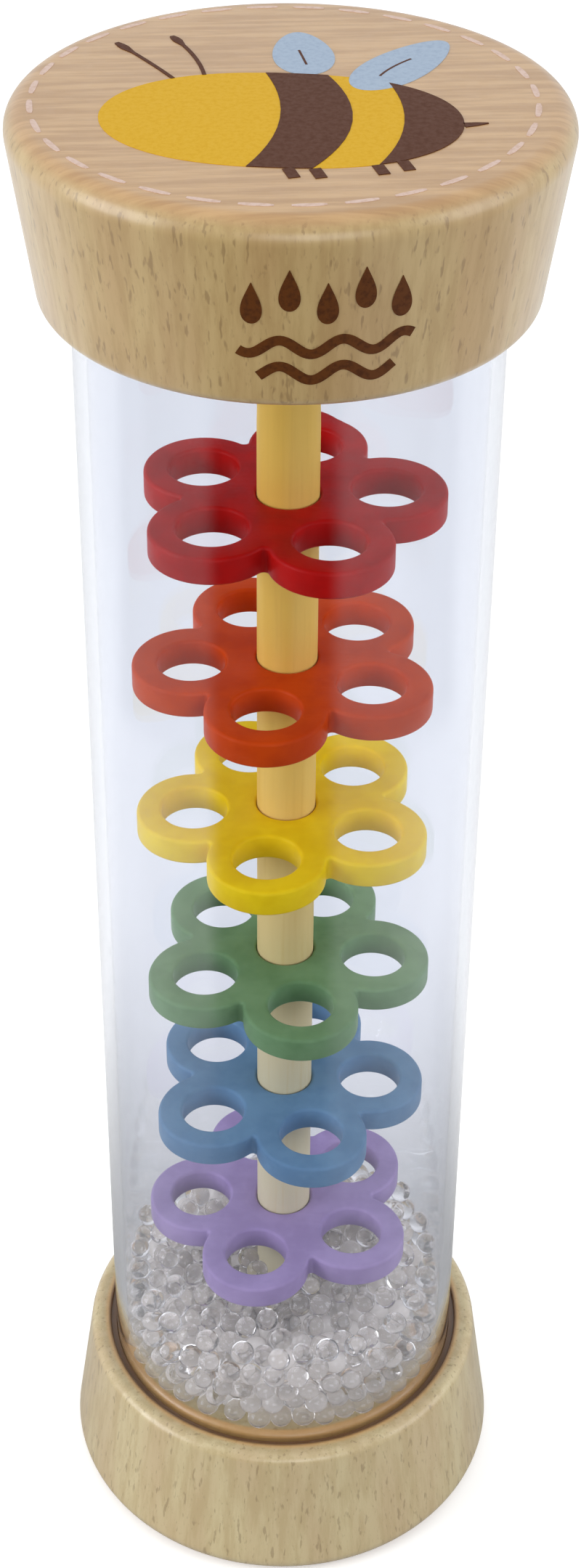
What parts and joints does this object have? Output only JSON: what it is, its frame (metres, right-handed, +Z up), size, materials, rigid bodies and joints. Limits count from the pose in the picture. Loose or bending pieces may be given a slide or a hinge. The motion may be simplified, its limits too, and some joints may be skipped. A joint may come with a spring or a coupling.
{
  "type": "rainstick",
  "caption": "Wooden rain shaker: a clear tube between two turned wooden caps, with beads that trickle down past painted flower discs on a central dowel.",
  "frame": {"origin": "centre of the flat foot under the base cap", "axes": "+Z up along the tube, from the base cap to the top cap; the side marked on the top cap faces -Y"},
  "size_m": [0.0588, 0.0588, 0.2],
  "materials": {
    "beech": "turned and lightly lacquered beech",
    "dowel_wood": "plain sanded dowel",
    "tube_plastic": "clear acrylic tube",
    "bead_plastic": "clear plastic beads",
    "purple_paint": "painted plywood",
    "blue_paint": "painted plywood",
    "green_paint": "painted plywood",
    "yellow_paint": "painted plywood",
    "orange_paint": "painted plywood",
    "red_paint": "painted plywood"
  },
  "bodies": {
    "rainstick": {"base_cap": "beech", "top_cap": "beech", "tube": "tube_plastic", "dowel": "dowel_wood", "flower_disc_purple": "purple_paint", "flower_disc_blue": "blue_paint", "flower_disc_green": "green_paint", "flower_disc_yellow": "yellow_paint", "flower_disc_orange": "orange_paint", "flower_disc_red": "red_paint"},
    "bead_heap": {"bead_heap": "bead_plastic"},
    "bead_01": {"bead_01": "bead_plastic"},
    "bead_02": {"bead_02": "bead_plastic"},
    "bead_03": {"bead_03": "bead_plastic"},
    "bead_04": {"bead_04": "bead_plastic"},
    "bead_05": {"bead_05": "bead_plastic"},
    "bead_06": {"bead_06": "bead_plastic"},
    "bead_07": {"bead_07": "bead_plastic"},
    "bead_08": {"bead_08": "bead_plastic"},
    "bead_09": {"bead_09": "bead_plastic"},
    "bead_10": {"bead_10": "bead_plastic"},
    "bead_11": {"bead_11": "bead_plastic"},
    "bead_12": {"bead_12": "bead_plastic"},
    "bead_13": {"bead_13": "bead_plastic"},
    "bead_14": {"bead_14": "bead_plastic"},
    "bead_15": {"bead_15": "bead_plastic"},
    "bead_16": {"bead_16": "bead_plastic"},
    "bead_17": {"bead_17": "bead_plastic"},
    "bead_18": {"bead_18": "bead_plastic"},
    "bead_19": {"bead_19": "bead_plastic"},
    "bead_20": {"bead_20": "bead_plastic"},
    "bead_21": {"bead_21": "bead_plastic"},
    "bead_22": {"bead_22": "bead_plastic"},
    "bead_23": {"bead_23": "bead_plastic"},
    "bead_24": {"bead_24": "bead_plastic"}
  },
  "joints": [
    {"name": "bead_heap_shift", "type": "slide", "parent": "rainstick", "child": "bead_heap", "axis": [0, 0, 1], "range_m": [0, 0.0037]},
    {"name": "bead_01_fall", "type": "slide", "parent": "bead_heap", "child": "bead_01", "axis": [0, 0, 1], "range_m": [0, 0.1387]},
    {"name": "bead_02_fall", "type": "slide", "parent": "bead_heap", "child": "bead_02", "axis": [0, 0, 1], "range_m": [0, 0.1395]},
    {"name": "bead_03_fall", "type": "slide", "parent": "bead_heap", "child": "bead_03", "axis": [0, 0, 1], "range_m": [0, 0.1393]},
    {"name": "bead_04_fall", "type": "slide", "parent": "bead_heap", "child": "bead_04", "axis": [0, 0, 1], "range_m": [0, 0.1388]},
    {"name": "bead_05_fall", "type": "slide", "parent": "bead_heap", "child": "bead_05", "axis": [0, 0, 1], "range_m": [0, 0.1397]},
    {"name": "bead_06_fall", "type": "slide", "parent": "bead_heap", "child": "bead_06", "axis": [0, 0, 1], "range_m": [0, 0.139]},
    {"name": "bead_07_fall", "type": "slide", "parent": "bead_heap", "child": "bead_07", "axis": [0, 0, 1], "range_m": [0, 0.139]},
    {"name": "bead_08_fall", "type": "slide", "parent": "bead_heap", "child": "bead_08", "axis": [0, 0, 1], "range_m": [0, 0.1397]},
    {"name": "bead_09_fall", "type": "slide", "parent": "bead_heap", "child": "bead_09", "axis": [0, 0, 1], "range_m": [0, 0.1387]},
    {"name": "bead_10_fall", "type": "slide", "parent": "bead_heap", "child": "bead_10", "axis": [0, 0, 1], "range_m": [0, 0.1393]},
    {"name": "bead_11_fall", "type": "slide", "parent": "bead_heap", "child": "bead_11", "axis": [0, 0, 1], "range_m": [0, 0.1395]},
    {"name": "bead_12_fall", "type": "slide", "parent": "bead_heap", "child": "bead_12", "axis": [0, 0, 1], "range_m": [0, 0.1387]},
    {"name": "bead_13_fall", "type": "slide", "parent": "bead_heap", "child": "bead_13", "axis": [0, 0, 1], "range_m": [0, 0.1396]},
    {"name": "bead_14_fall", "type": "slide", "parent": "bead_heap", "child": "bead_14", "axis": [0, 0, 1], "range_m": [0, 0.1392]},
    {"name": "bead_15_fall", "type": "slide", "parent": "bead_heap", "child": "bead_15", "axis": [0, 0, 1], "range_m": [0, 0.1388]},
    {"name": "bead_16_fall", "type": "slide", "parent": "bead_heap", "child": "bead_16", "axis": [0, 0, 1], "range_m": [0, 0.1397]},
    {"name": "bead_17_fall", "type": "slide", "parent": "bead_heap", "child": "bead_17", "axis": [0, 0, 1], "range_m": [0, 0.1389]},
    {"name": "bead_18_fall", "type": "slide", "parent": "bead_heap", "child": "bead_18", "axis": [0, 0, 1], "range_m": [0, 0.1391]},
    {"name": "bead_19_fall", "type": "slide", "parent": "bead_heap", "child": "bead_19", "axis": [0, 0, 1], "range_m": [0, 0.1396]},
    {"name": "bead_20_fall", "type": "slide", "parent": "bead_heap", "child": "bead_20", "axis": [0, 0, 1], "range_m": [0, 0.1387]},
    {"name": "bead_21_fall", "type": "slide", "parent": "bead_heap", "child": "bead_21", "axis": [0, 0, 1], "range_m": [0, 0.1394]},
    {"name": "bead_22_fall", "type": "slide", "parent": "bead_heap", "child": "bead_22", "axis": [0, 0, 1], "range_m": [0, 0.1394]},
    {"name": "bead_23_fall", "type": "slide", "parent": "bead_heap", "child": "bead_23", "axis": [0, 0, 1], "range_m": [0, 0.1387]},
    {"name": "bead_24_fall", "type": "slide", "parent": "bead_heap", "child": "bead_24", "axis": [0, 0, 1], "range_m": [0, 0.1396]}
  ]
}
